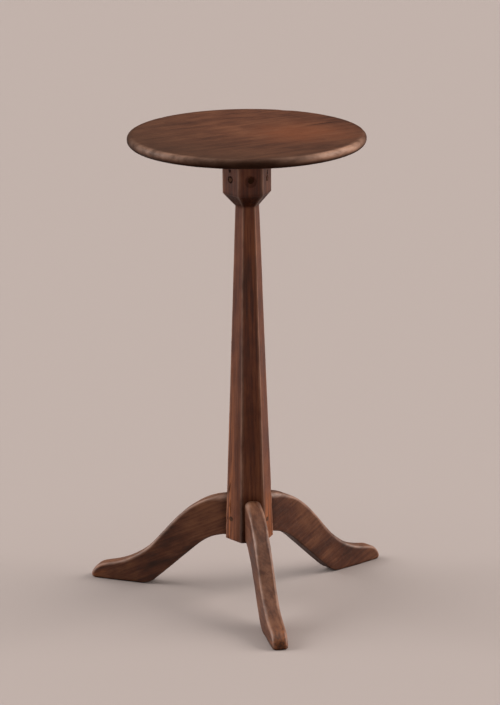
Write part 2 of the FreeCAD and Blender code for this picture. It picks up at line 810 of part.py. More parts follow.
def export(pieces):
    """Write each piece's solid after every object has proved sound."""
    doc.recompute()
    for item in doc.Objects:
        if {"Invalid", "Error"} & set(item.State):
            raise RuntimeError(f"{item.Name} did not recompute: {item.State}")
    for piece in pieces:
        shape = piece.Shape
        if shape.isNull() or not shape.isValid() or not shape.Solids:
            raise RuntimeError(f"{piece.Label} has no sound solid")
    os.makedirs("parts", exist_ok=True)
    for piece in pieces:
        piece.Shape.exportStep(f"parts/{piece.Label}.step")
        box = piece.Shape.optimalBoundingBox()
        volume = piece.Shape.Volume / 1000
        print(
            f"{piece.Label:16} {len(piece.Shape.Solids)} solid(s) {volume:8.1f} cm3"
            f"  x {box.XMin:7.1f} {box.XMax:7.1f}  y {box.YMin:7.1f} {box.YMax:7.1f}"
            f"  z {box.ZMin:7.1f} {box.ZMax:7.1f}"
        )


fill_sheet()
PIECES = [make_post()]
PIECES += [make_leg(side) for side in LEG_TURNS]
PIECES += [make_leg_pegs(), make_block(), make_head_pegs()]
PIECES += [make_pin(side) for side in SIDES]
PIECES += [make_board()]
PIECES += [make_batten(side) for side in SIDES]
PIECES += [make_batten_screws(), make_button(), make_spacer(), make_button_screw()]
export(PIECES)
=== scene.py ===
import math

import bpy
import numpy as np
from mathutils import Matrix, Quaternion, Vector


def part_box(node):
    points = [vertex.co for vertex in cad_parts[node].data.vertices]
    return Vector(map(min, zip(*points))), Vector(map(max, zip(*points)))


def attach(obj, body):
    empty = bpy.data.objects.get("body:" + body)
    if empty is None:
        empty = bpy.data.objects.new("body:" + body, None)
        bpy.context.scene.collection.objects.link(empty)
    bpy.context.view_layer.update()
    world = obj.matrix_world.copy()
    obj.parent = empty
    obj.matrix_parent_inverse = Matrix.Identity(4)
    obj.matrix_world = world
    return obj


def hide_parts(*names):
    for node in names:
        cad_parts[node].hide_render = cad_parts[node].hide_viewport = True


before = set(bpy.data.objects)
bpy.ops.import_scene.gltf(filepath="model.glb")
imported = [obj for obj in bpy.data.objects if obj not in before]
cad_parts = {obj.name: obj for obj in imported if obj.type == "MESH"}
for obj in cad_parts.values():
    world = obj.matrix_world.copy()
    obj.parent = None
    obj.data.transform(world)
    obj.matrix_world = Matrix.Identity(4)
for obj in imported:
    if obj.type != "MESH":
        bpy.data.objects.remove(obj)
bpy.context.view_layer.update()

# Everything is in metres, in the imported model's own frame: +Z up, the front
# leg along -Y, and the tilted board's face towards +Y.
MM = 0.001

# ---- Places and sizes read from the frame -----------------------------------

POST_LOW, POST_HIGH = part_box("post")
BOARD_LOW, BOARD_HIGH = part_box("top_board")
LEG_LOW, LEG_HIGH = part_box("leg_front")

AXIS = Vector((0, (POST_LOW.y + POST_HIGH.y) / 2, 0))
STOCK = POST_HIGH.y - POST_LOW.y
FOOT = POST_LOW.z
HEAD_TOP = POST_HIGH.z
BOARD_RADIUS = (BOARD_HIGH.x - BOARD_LOW.x) / 2
BOARD_TOP = BOARD_HIGH.z
UNDERSIDE = BOARD_LOW.z
LEG_THICK = LEG_HIGH.x - LEG_LOW.x

# ---- Shapes that the frame's boxes don't give -------------------------------

NECK = 0.582
NECK_ACROSS = 0.0302
HEAD_LOW = 0.601
RIM_UP = 6.4 * MM
RIM_LOW = 7.4 * MM
# Innermost ring of the board's mesh
BOARD_HUB = 2 * MM
# Where painted highlights lighten the rim, in degrees from +X, and how strong
RIM_HIGHLIGHTS = {-48: 1.9, -145: 1.1}
# The board's grain, turned from +X
GRAIN_TURN = math.radians(20)

# Leg outline in millimetres, out from the post's axis and up: centre, radius
KNEE = ((0.0, 2.0), 152.5)
ANKLE = ((242.7, 153.4), 129.5)
TOE = ((220.6, -1.4), 26.4)
HEEL = ((168.2, 36.0), 36.0)
ARCH = ((21.0, 7.0), 84.3)
NOSE_RADIUS = 5.0
NOSE_TIP = math.radians(-20)
NOSE_CORNER = 4.6
LEG_START = 36.0
LEG_TURNS = {"front": 0, "right": 120, "left": -120}
# How far the finish is worn off each toe, from 0 to 1
TOE_WEAR = {"front": 1.0, "right": 0.2, "left": 1.0}

# ---- Noise ------------------------------------------------------------------


def lattice_noise(points, wavelength, seed):
    """Smooth noise from -1 to 1 over an array of points, repeating every 24 cells."""
    cells = 24
    table = np.random.RandomState(seed).uniform(-1, 1, (cells, cells, cells))
    at = np.asarray(points, float) / np.asarray(wavelength, float)
    base = np.floor(at).astype(int)
    part = at - base
    part = part * part * (3 - 2 * part)
    total = np.zeros(len(at))
    for dx in (0, 1):
        for dy in (0, 1):
            for dz in (0, 1):
                corner = (base + (dx, dy, dz)) % cells
                weight = np.ones(len(at))
                for axis, step in enumerate((dx, dy, dz)):
                    weight *= part[:, axis] if step else 1 - part[:, axis]
                total += weight * table[corner[:, 0], corner[:, 1], corner[:, 2]]
    return total


def smooth_step(low, high, x):
    """Smooth change from 0 to 1 as x goes from low to high, which may be the smaller."""
    t = np.clip((x - low) / (high - low), 0, 1)
    return t * t * (3 - 2 * t)


# ---- Mesh helpers -----------------------------------------------------------


def new_piece(name, vertices, faces, body, node, paint, sharp=35):
    """Mesh object that rides on a body and stands for a CAD node.

    paint: values from 0 to 1 at the points, by the name that a material reads.
    sharp: edges with more than this many degrees between their faces stay crisp.
    """
    mesh = bpy.data.meshes.new(name)
    mesh.from_pydata([tuple(v) for v in vertices], [], faces)
    mesh.validate()
    for attribute_name, values in paint.items():
        attribute = mesh.attributes.new(attribute_name, "FLOAT", "POINT")
        attribute.data.foreach_set("value", np.asarray(values, np.float32))
    mesh.polygons.foreach_set("use_smooth", [True] * len(mesh.polygons))
    mesh.set_sharp_from_angle(angle=math.radians(sharp))
    piece = bpy.data.objects.new(name, mesh)
    bpy.context.scene.collection.objects.link(piece)
    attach(piece, body)
    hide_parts(node)
    return piece


def ring_faces(rings, around):
    """Quads between closed rings of points, each ring following the last."""
    faces = []
    for ring in range(rings - 1):
        for i in range(around):
            a = ring * around + i
            b = ring * around + (i + 1) % around
            faces.append((a, b, b + around, a + around))
    return faces


# ---- Board ------------------------------------------------------------------


def board_profile():
    """Half section of the board, from the middle of its face to the middle below."""
    up_centre = (BOARD_RADIUS - RIM_UP, BOARD_TOP - RIM_UP)
    low_centre = (BOARD_RADIUS - RIM_LOW, UNDERSIDE + RIM_LOW)
    face = [(r, BOARD_TOP) for r in np.linspace(BOARD_HUB, up_centre[0], 42)[:-1]]
    quarter = np.linspace(math.pi / 2, 0, 9)
    rim = [(up_centre[0] + RIM_UP * math.cos(a), up_centre[1] + RIM_UP * math.sin(a)) for a in quarter]
    rim += [
        (low_centre[0] + RIM_LOW * math.cos(a), low_centre[1] + RIM_LOW * math.sin(a))
        for a in quarter - math.pi / 2
    ]
    under = [(r, UNDERSIDE) for r in np.linspace(low_centre[0], BOARD_HUB, 42)[1:]]
    return np.array(face + rim + under)


def make_board():
    profile = board_profile()
    around = 300
    turns = np.linspace(0, 2 * math.pi, around, endpoint=False)
    rings = len(profile)
    radius = np.repeat(profile[:, 0], around)
    height = np.repeat(profile[:, 1], around)
    turn = np.tile(turns, rings)
    flat = np.stack([radius * np.cos(turn), radius * np.sin(turn), height], 1)

    # Hand-cut outline: the rim wanders inwards by up to about a millimetre
    edge = np.stack([0.1 * np.cos(turn), 0.1 * np.sin(turn), np.zeros_like(turn)], 1)
    wander = 0.5 + 0.5 * lattice_noise(edge, 0.05, 3)
    near_rim = smooth_step(0.6 * BOARD_RADIUS, BOARD_RADIUS, radius)
    radius = radius - near_rim * wander * 0.9 * MM
    # Soft dents along the rim's edges
    middle = (BOARD_TOP + UNDERSIDE) / 2
    at_rim = smooth_step(BOARD_RADIUS - 9 * MM, BOARD_RADIUS - 4 * MM, radius)
    dents = np.clip(lattice_noise(flat, (0.02, 0.02, 0.012), 5) - 0.35, 0, 1)
    height = height - np.sign(height - middle) * at_rim * dents * 1.1 * MM
    # Worn hollows in the face and plane strokes below
    face = height > middle
    hollow = 0.5 + 0.5 * lattice_noise(flat, (0.09, 0.06, 1), 7)
    inner = 1 - smooth_step(0.9 * BOARD_RADIUS, BOARD_RADIUS, radius)
    height = height - face * inner * hollow * 0.35 * MM
    across_grain = flat[:, 1] * math.cos(GRAIN_TURN) - flat[:, 0] * math.sin(GRAIN_TURN)
    strokes = np.abs(np.sin(across_grain / 0.032 * math.pi + lattice_noise(flat, 0.08, 9)))
    height = height + (~face) * inner * strokes * 0.35 * MM

    points = np.stack([radius * np.cos(turn), radius * np.sin(turn) + AXIS.y, height], 1)
    faces = ring_faces(rings, around)
    middle_top = len(points)
    points = np.vstack([points, [0, AXIS.y, BOARD_TOP - 0.2 * MM], [0, AXIS.y, UNDERSIDE + 0.2 * MM]])
    last = (rings - 1) * around
    for i in range(around):
        j = (i + 1) % around
        faces.append((middle_top, j, i))
        faces.append((middle_top + 1, last + i, last + j))
    # Face rings run outwards, so turn every quad to look out
    faces = [tuple(reversed(f)) for f in faces]

    # Painted shade darkens the rim, most of all below, and painted highlights lighten it in two places
    # over a little rubbing all round
    depth = (BOARD_TOP - points[:, 2]) / (BOARD_TOP - UNDERSIDE)
    rim = smooth_step(BOARD_RADIUS - 12 * MM, BOARD_RADIUS - 5 * MM, np.append(radius, [0, 0]))
    # Painted shade, darker down the rim towards its underside
    dirt_and_shade = rim * smooth_step(-0.3, 0.6, depth)
    around_rim = np.append(turn, [0, 0])
    # Painted highlights at the listed places on the rim, which also lessen its painted shade
    highlit = np.zeros(len(points))
    for place, amount in RIM_HIGHLIGHTS.items():
        highlit += amount * np.maximum(0, np.cos(around_rim - math.radians(place))) ** 8
    rub_and_highlight = np.append(at_rim, [0, 0]) * (0.04 + highlit) * (1 - smooth_step(0.35, 0.8, depth))
    dirt_and_shade *= 1 - np.minimum(0.9, 0.6 * highlit) * (1 - smooth_step(0.5, 0.9, depth))
    return new_piece("board", points, faces, "top", "top_board", {"edge": rub_and_highlight, "dirt_and_shade": dirt_and_shade})


# ---- Post -------------------------------------------------------------------


def hexagon_ring(across, corner_radii):
    """Points round a hexagon with rounded arrises and a flat towards -Y.

    Returns the points and how near each is to an arris, from 0 to 1.
    """
    per_face = 9
    per_corner = 4
    arcs = []
    for k in range(6):
        middle = math.pi / 3 * k
        size = corner_radii[k]
        out = across / math.sqrt(3) - size / math.cos(math.pi / 6)
        centre = out * np.array([math.cos(middle), math.sin(middle)])
        angles = middle + np.linspace(-math.pi / 6, math.pi / 6, per_corner + 1)
        arcs.append([centre + size * np.array([math.cos(a), math.sin(a)]) for a in angles])
    points = []
    nearness = []
    for k in range(6):
        points += arcs[k]
        nearness += [0.6] + [1] * (per_corner - 1) + [0.6]
        for i in range(1, per_face):
            share = i / per_face
            points.append(arcs[k][-1] * (1 - share) + arcs[(k + 1) % 6][0] * share)
            nearness.append(max(0, 0.5 - 5 * min(share, 1 - share)))
    return np.array(points), np.array(nearness)


def post_heights():
    """Ring heights with the width across the flats at each, from foot to head."""
    rings = [(FOOT, STOCK - 1.6 * MM), (FOOT + 0.8 * MM, STOCK)]
    for share in np.linspace(0, 1, 130)[1:-1]:
        z = FOOT + (NECK - FOOT) * share
        rings.append((z, STOCK + (NECK_ACROSS - STOCK) * share))
    rings.append((NECK - 0.3 * MM, NECK_ACROSS))
    rings.append((NECK + 0.3 * MM, NECK_ACROSS + 0.6 * MM))
    for share in np.linspace(0, 1, 9)[1:-1]:
        z = NECK + (HEAD_LOW - NECK) * share
        rings.append((z, NECK_ACROSS + (STOCK - NECK_ACROSS) * share))
    rings.append((HEAD_LOW - 0.4 * MM, STOCK - 1.0 * MM))
    rings.append((HEAD_LOW + 0.5 * MM, STOCK))
    for z in np.linspace(HEAD_LOW, HEAD_TOP, 12)[1:-1]:
        rings.append((z, STOCK))
    rings.append((HEAD_TOP - 0.8 * MM, STOCK))
    rings.append((HEAD_TOP, STOCK - 1.6 * MM))
    return rings


def post_face(z):
    """Distance from the axis to the tapered part's faces at a height."""
    share = np.clip((z - FOOT) / (NECK - FOOT), 0, 1)
    return (STOCK + (NECK_ACROSS - STOCK) * share) / 2


def make_post():
    points = []
    edge = []
    slope = []
    arrises = np.arange(6)
    for z, across in post_heights():
        at = np.stack([arrises * 0.05, np.full(6, z), np.zeros(6)], 1)
        worn = 1.9 + 0.8 * lattice_noise(at, (0.05, 0.04, 1), 11)
        ring, near = hexagon_ring(across, worn * MM * min(1, across / 0.05))
        for (x, y), n in zip(ring, near):
            points.append((x, y, z))
            edge.append(n)
            slope.append(1.0 if NECK < z < HEAD_LOW else 0.0)
    points = np.array(points)
    edge = np.array(edge)
    slope = np.array(slope)
    around = len(ring)
    rings = len(points) // around

    # Plane strokes and shrinkage, always inwards
    hollow = 0.5 + 0.5 * lattice_noise(points, (0.02, 0.02, 0.11), 13)
    ripple = 0.5 + 0.5 * lattice_noise(points, (0.011, 0.011, 0.03), 17)
    rasp = 0.5 + 0.5 * lattice_noise(points, (0.004, 0.004, 0.003), 19)
    chips = np.clip(lattice_noise(points, (0.008, 0.008, 0.007), 21) - 0.1, 0, 1)
    chips *= edge * (1 - smooth_step(0.13, 0.20, points[:, 2]))
    depth = (0.35 * hollow + 0.12 * ripple + 0.45 * slope * rasp + 1.3 * chips) * MM
    length = np.linalg.norm(points[:, :2], axis=1)
    points[:, :2] *= (1 - depth / length)[:, None]

    faces = ring_faces(rings, around)
    for ring_index, z, flip in ((0, FOOT, True), (rings - 1, HEAD_TOP, False)):
        start = ring_index * around
        centre = len(points)
        points = np.vstack([points, [0, 0, z]])
        edge = np.append(edge, 0)
        for i in range(around):
            triangle = (centre, start + i, start + (i + 1) % around)
            faces.append(tuple(reversed(triangle)) if flip else triangle)

    strip, dirt_and_shade = post_wear(points)
    points[:, 1] += AXIS.y
    paint = {"edge": edge, "warm": strip, "dirt_and_shade": dirt_and_shade}
    return new_piece("post_wood", points, faces, "stand", "post", paint, sharp=28)


def post_wear(points):
    """Where the post is rubbed bare, where it is dirty and where shade is painted on, from points
    about its axis.
    """
    level = points[:, 2]
    flat = post_face(level)
    low = 1 - smooth_step(0.22, 0.42, level)

    # Rubbed and chipped strip on the left front face, beside its outer arris
    left_out = np.array([-math.sin(math.pi / 3), -0.5])
    left_along = np.array([-0.5, math.sin(math.pi / 3)])
    on_left = smooth_step(0.80, 0.95, points[:, :2] @ left_out / flat)
    across = points[:, :2] @ left_along / (flat / math.sqrt(3))
    strip = on_left * low * smooth_step(-0.25, 0.7, across)
    strip *= 0.65 + 0.65 * (1 - smooth_step(0.15, 0.20, level))
    strip *= 1.0 + 0.5 * lattice_noise(points, (0.005, 0.005, 0.05), 23)
    # The right front face is rubbed only beside the leg
    on_right = smooth_step(0.80, 0.95, points[:, :2] @ (left_out * (-1, 1)) / flat)
    strip = np.maximum(strip, 0.75 * on_right * (1 - smooth_step(0.12, 0.18, level)))

    # Painted shade on the downward slope below the head, and on the front face above the leg and low
    # down; dirt streaks low on the left face
    dirt_and_shade = smooth_step(NECK - 2 * MM, NECK + 2 * MM, level)
    dirt_and_shade *= 1 - smooth_step(HEAD_LOW - 2 * MM, HEAD_LOW + 3 * MM, level)
    front = smooth_step(0.80, 0.95, -points[:, 1] / flat)
    above_leg = 1 - smooth_step(LEG_HIGH.z - 0.02, LEG_HIGH.z + 0.03, level)
    dirt_and_shade = np.maximum(dirt_and_shade, 0.8 * front * above_leg)
    dirt_and_shade = np.maximum(dirt_and_shade, 0.3 * front * (1 - smooth_step(0.24, 0.40, level)))
    dirt = 0.5 + 0.5 * lattice_noise(points, (0.006, 0.006, 0.06), 25)
    dirt_and_shade = np.maximum(dirt_and_shade, 0.6 * dirt * low * on_left * smooth_step(0.2, -0.4, across))

    # The front face is a little rubbed below the neck
    strip = np.maximum(strip, 0.3 * front * smooth_step(0.38, 0.48, level) * (level < NECK))
    return np.clip(strip, 0, 1), dirt_and_shade


# ---- Legs -------------------------------------------------------------------


def tangent_line(first, second):
    """Ends of the line that joins two circles of a smooth path.

    A circle is (centre, radius), with a negative radius where the path turns
    clockwise round it.
    """
    (centre_a, radius_a), (centre_b, radius_b) = first, second
    apart = np.subtract(centre_b, centre_a)
    step = radius_b - radius_a
    length = math.sqrt(apart @ apart - step**2)
    heading = math.atan2(apart[1], apart[0]) - math.atan2(step, length)
    left = np.array([-math.sin(heading), math.cos(heading)])
    return centre_a - left * radius_a, centre_b - left * radius_b


def arc_points(centre, start, end, clockwise, spacing=1.0):
    """Points along an arc, with its start and without its end."""
    first = math.atan2(start[1] - centre[1], start[0] - centre[0])
    last = math.atan2(end[1] - centre[1], end[0] - centre[0])
    if clockwise and last > first:
        last -= 2 * math.pi
    if not clockwise and last < first:
        last += 2 * math.pi
    radius = math.dist(start, centre)
    steps = max(3, int(abs(last - first) * radius / spacing))
    angles = np.linspace(first, last, steps, endpoint=False)
    return [(centre[0] + radius * math.cos(a), centre[1] + radius * math.sin(a)) for a in angles]


def resample(points, count):
    """Evenly spaced points along a polyline, with unit tangents."""
    points = np.array(points)
    steps = np.linalg.norm(np.diff(points, axis=0), axis=1)
    along = np.concatenate([[0], np.cumsum(steps)])
    want = np.linspace(0, along[-1], count)
    placed = np.stack([np.interp(want, along, points[:, k]) for k in (0, 1)], 1)
    tangent = np.gradient(placed, axis=0)
    tangent /= np.linalg.norm(tangent, axis=1)[:, None]
    return placed, tangent


def leg_edges(stations):
    """Upper and lower edge of a leg's outline in its own plane, with inward directions."""
    (knee, knee_r), (ankle, ankle_r), (toe, toe_r) = KNEE, ANKLE, TOE
    (heel, heel_r), (arch, arch_r) = HEEL, ARCH
    root_top = (LEG_START, knee[1] + math.sqrt(knee_r**2 - (LEG_START - knee[0]) ** 2))
    root_low = (LEG_START, arch[1] + math.sqrt(arch_r**2 - (LEG_START - arch[0]) ** 2))
    knee_end, ankle_start = tangent_line((knee, -knee_r), (ankle, ankle_r))
    ankle_end, toe_start = tangent_line((ankle, ankle_r), (toe, -toe_r))
    reach = math.sqrt((toe_r - NOSE_RADIUS) ** 2 - (NOSE_RADIUS - toe[1]) ** 2)
    nose = np.array([toe[0] + reach, NOSE_RADIUS])
    out = (nose - toe) / np.linalg.norm(nose - toe)
    nose_start = nose + out * NOSE_RADIUS
    tip_out = np.array([math.cos(NOSE_TIP), math.sin(NOSE_TIP)])
    tip = nose + NOSE_RADIUS * tip_out
    sole_end = (nose[0], 0.0)
    heel_low = (heel[0], 0.0)
    heel_end, arch_start = tangent_line((heel, -heel_r), (arch, arch_r))

    upper = arc_points(knee, root_top, knee_end, True)
    upper += [tuple(knee_end)]
    upper += arc_points(ankle, ankle_start, ankle_end, False)
    upper += [tuple(ankle_end)]
    upper += arc_points(toe, toe_start, nose_start, True)
    upper += arc_points(nose, nose_start, tip, True, 0.5)
    upper += [tuple(tip)]
    lower = arc_points(arch, root_low, arch_start, True)
    lower += [tuple(arch_start)]
    lower += arc_points(heel, heel_end, heel_low, False)
    lower += [heel_low]
    lower += arc_points(nose, sole_end, tip, False, 0.5)
    lower += [tuple(tip)]
    top, top_along = resample(upper, stations)
    low, low_along = resample(lower, stations)
    top_in = np.stack([top_along[:, 1], -top_along[:, 0]], 1)
    low_in = np.stack([-low_along[:, 1], low_along[:, 0]], 1)
    # Both edges meet at the tip, where the inward direction is the same
    top_in[-1] = -tip_out
    low_in[-1] = -tip_out
    return top, top_in, low, low_in


def leg_ring(top, top_in, low, low_in, width, top_round, low_round):
    """Points round a leg's section: across, out, up, nearness to an edge, facing down.

    The rounding of the long edges is taken inwards from the outline, and the
    cheeks run straight between.
    """
    quarter = np.linspace(0, math.pi / 2, 6)
    cheek_top = top + top_in * top_round
    cheek_low = low + low_in * low_round
    side = []
    for a in quarter:
        place = top + top_in * top_round * (1 - math.cos(a))
        side.append((width - top_round + top_round * math.sin(a), *place, math.sin(2 * a), 0))
    for share in np.linspace(0, 1, 13)[1:-1]:
        side.append((width, *(cheek_top * (1 - share) + cheek_low * share), 0, 0))
    for a in reversed(quarter):
        place = low + low_in * low_round * (1 - math.cos(a))
        across = width - low_round + low_round * math.sin(a)
        side.append((across, *place, 0.4 * math.sin(2 * a), math.cos(a)))
    top_half = side[0][0]
    low_half = side[-1][0]
    ring = [(across, *top, 0.25, 0) for across in np.linspace(-top_half, top_half, 7)[:-1]]
    ring += side
    ring += [(across, *low, 0, 1) for across in np.linspace(low_half, -low_half, 7)[1:-1]]
    ring += [(-across, *rest) for across, *rest in reversed(side[1:])]
    return ring


def make_leg(side, seed):
    stations = 170
    top, top_in, low, low_in = leg_edges(stations)
    half = LEG_THICK / 2 / MM
    along = np.arange(stations) / (stations - 1)
    spot = np.stack([along * 0.3, np.zeros(stations), np.zeros(stations)], 1)

    # How far each of the four long edges is rounded, in millimetres
    top_round = 5.2 + 1.2 * lattice_noise(spot, 0.03, seed + 1)
    top_round += 5.0 * (1 - smooth_step(0.0, 0.10, along))
    low_round = 2.6 + 0.7 * lattice_noise(spot, 0.03, seed + 2)
    # At the nose both are the same, so that its two halves meet, and less than its radius
    top_round += (NOSE_CORNER - top_round) * smooth_step(0.93, 0.985, along)
    low_round += (NOSE_CORNER - low_round) * smooth_step(0.955, 0.995, along)
    # The toe is a little narrower than the knee
    width = half - 1.1 * smooth_step(0.80, 1.0, along) - 0.25

    sections = zip(top, top_in, low, low_in, width, top_round, low_round)
    table = np.array([leg_ring(*section) for section in sections])
    around = table.shape[1]
    table = table.reshape(-1, 5)
    local, edge, below = table[:, :3].copy(), table[:, 3], table[:, 4]

    # Saw and spokeshave marks: the cheeks hollow a little, always inwards
    side_of = np.clip(local[:, 0] / half, -1, 1)
    on_cheek = smooth_step(0.9, 0.97, np.abs(side_of))
    marks = 0.5 + 0.5 * lattice_noise(local, (9, 22, 16), seed + 5)
    fine = 0.5 + 0.5 * lattice_noise(local, (9, 7, 5), seed + 6)
    local[:, 0] -= side_of * on_cheek * (0.45 * marks + 0.2 * fine)
    ripple = lattice_noise(local, (30, 14, 14), seed + 7)
    local[:, 2] += np.where(local[:, 2] > 12, 0.25 * ripple - 0.25, 0)

    # The root ends just inside the post's sloping face
    root = local[:around].copy()
    root[:, 1] = post_face(root[:, 2] * MM) / MM - 0.7
    points = np.vstack([root, local])
    edge = np.concatenate([edge[:around], edge])
    below = np.concatenate([below[:around], below])
    faces = leg_faces(points, stations + 1, around)

    # Bare wood on the toe; painted shade at the root beside the post and on the underside; darker
    # along the sole and in the middle of the nose
    across, out, up = points.T
    bare = smooth_step(205, 240, out) * (0.5 + 0.5 * lattice_noise(points, (6, 12, 6), seed + 8))
    dirt_and_shade = 0.5 * (1 - smooth_step(30, 44, out))
    dirt_and_shade = np.maximum(dirt_and_shade, 1 - smooth_step(0.0, 4.0, up))
    dirt_and_shade = np.maximum(dirt_and_shade, 0.65 * below)
    nose = smooth_step(240.5, 243.5, out) * (1 - smooth_step(3.5, 8.0, np.abs(across)))
    dirt_and_shade = np.maximum(dirt_and_shade, 0.75 * nose)
    paint = {"edge": edge, "warm": np.clip(bare * TOE_WEAR[side], 0, 1), "dirt_and_shade": dirt_and_shade}

    turn = math.radians(LEG_TURNS[side])
    sideways = np.array([math.cos(turn), math.sin(turn), 0])
    outward = np.array([math.sin(turn), -math.cos(turn), 0])
    upward = np.array([0, 0, 1])
    placed = np.array(AXIS) + points @ np.stack([sideways, outward, upward]) * MM
    return new_piece(f"{side}_leg", placed, faces, "stand", f"leg_{side}", paint, sharp=50)


def leg_faces(points, rings, around):
    """Join the rings, close the root and weld the two halves of the toe."""
    faces = ring_faces(rings, around)
    last = (rings - 1) * around
    # At the tip the ring is flat: weld each point to its twin below
    twin = {}
    kept = {}
    for i in range(around):
        key = tuple(np.round(points[last + i], 3))
        if key in kept:
            twin[last + i] = kept[key]
        else:
            kept[key] = last + i
    welded = []
    for face in faces:
        face = [twin.get(v, v) for v in face]
        slim = [v for k, v in enumerate(face) if v != face[k - 1]]
        if len(set(slim)) >= 3:
            welded.append(tuple(slim))
    welded.append(tuple(reversed(range(around))))
    return welded


# ---- Materials --------------------------------------------------------------


class Nodes:
    """Short way to build a node tree."""

    def __init__(self, name):
        self.material = bpy.data.materials.new(name)
        self.material.use_nodes = True
        self.tree = self.material.node_tree
        self.tree.nodes.clear()
        self.output = self.tree.nodes.new("ShaderNodeOutputMaterial")
        self.shader = self.tree.nodes.new("ShaderNodeBsdfPrincipled")
        self.link(self.shader.outputs[0], self.output.inputs["Surface"])

    def link(self, source, target):
        self.tree.links.new(source, target)

    def put(self, target, source):
        """Link a socket or set a value."""
        if isinstance(source, bpy.types.NodeSocket):
            self.link(source, target)
        else:
            target.default_value = source

    def add(self, kind, inputs=None, **settings):
        node = self.tree.nodes.new(kind)
        for key, setting in settings.items():
            setattr(node, key, setting)
        for key, source in (inputs or {}).items():
            self.put(node.inputs[key], source)
        return node

    def math(self, operation, first, second=0.0, clamp=False):
        node = self.add("ShaderNodeMath", {0: first, 1: second}, operation=operation)
        node.use_clamp = clamp
        return node.outputs[0]

    def scaled(self, vector, scale):
        """A vector stretched by three factors."""
        node = self.add("ShaderNodeVectorMath", {0: vector, 1: scale}, operation="MULTIPLY")
        return node.outputs[0]

    def noise(self, vector, scale, detail=2.0, roughness=0.5):
        inputs = {"Vector": vector, "Scale": scale, "Detail": detail, "Roughness": roughness}
        return self.add("ShaderNodeTexNoise", inputs).outputs["Fac"]

    def ramp(self, factor, low, high, to_low=0.0, to_high=1.0):
        """Clamped change from one range to another."""
        inputs = {
            "Value": factor,
            "From Min": low,
            "From Max": high,
            "To Min": to_low,
            "To Max": to_high,
        }
        return self.add("ShaderNodeMapRange", inputs).outputs["Result"]

    def mix(self, factor, first, second):
        node = self.add("ShaderNodeMix", data_type="RGBA")
        self.put(node.inputs[0], factor)
        self.put(node.inputs[6], first)
        self.put(node.inputs[7], second)
        return node.outputs[2]

    def attribute(self, name):
        return self.add("ShaderNodeAttribute", attribute_name=name).outputs["Fac"]


def colour(red, green, blue):
    """Linear colour from 0 to 255 display values."""
    return (*[(c / 255) ** 2.2 for c in (red, green, blue)], 1.0)


EVEN_FIGURE = (0.40, 0.20, 0.35, 0.25)
PORE = colour(34, 18, 12)
# Lighter wood for worn arrises, also used as a painted highlight
RUB_HIGHLIGHT_COLOUR = colour(172, 124, 96)
BARE = colour(166, 96, 52)
# Dark colour for dirt and stains, also used as painted shade
DIRT_AND_SHADE_COLOUR = colour(20, 10, 6)


def late_wood(n, grain, pith, rings):
    """Dark part of each year's growth, in rings bent a little by slow noise."""
    bend = n.noise(n.scaled(grain, (3.0, 14.0, 14.0)), 1.0, 2.0)
    offset = n.math("MULTIPLY", n.math("SUBTRACT", bend, 0.5), 0.022)
    apart = n.add("ShaderNodeSeparateXYZ", {0: grain})
    across = n.math("ADD", n.math("SUBTRACT", apart.outputs[1], pith[0]), offset)
    deep = n.math("ADD", n.math("SUBTRACT", apart.outputs[2], pith[1]), offset)
    square = n.math("ADD", n.math("MULTIPLY", across, across), n.math("MULTIPLY", deep, deep))
    year = n.math("FRACT", n.math("MULTIPLY", n.math("SQRT", square), rings))
    return n.math("POWER", year, 2.5)


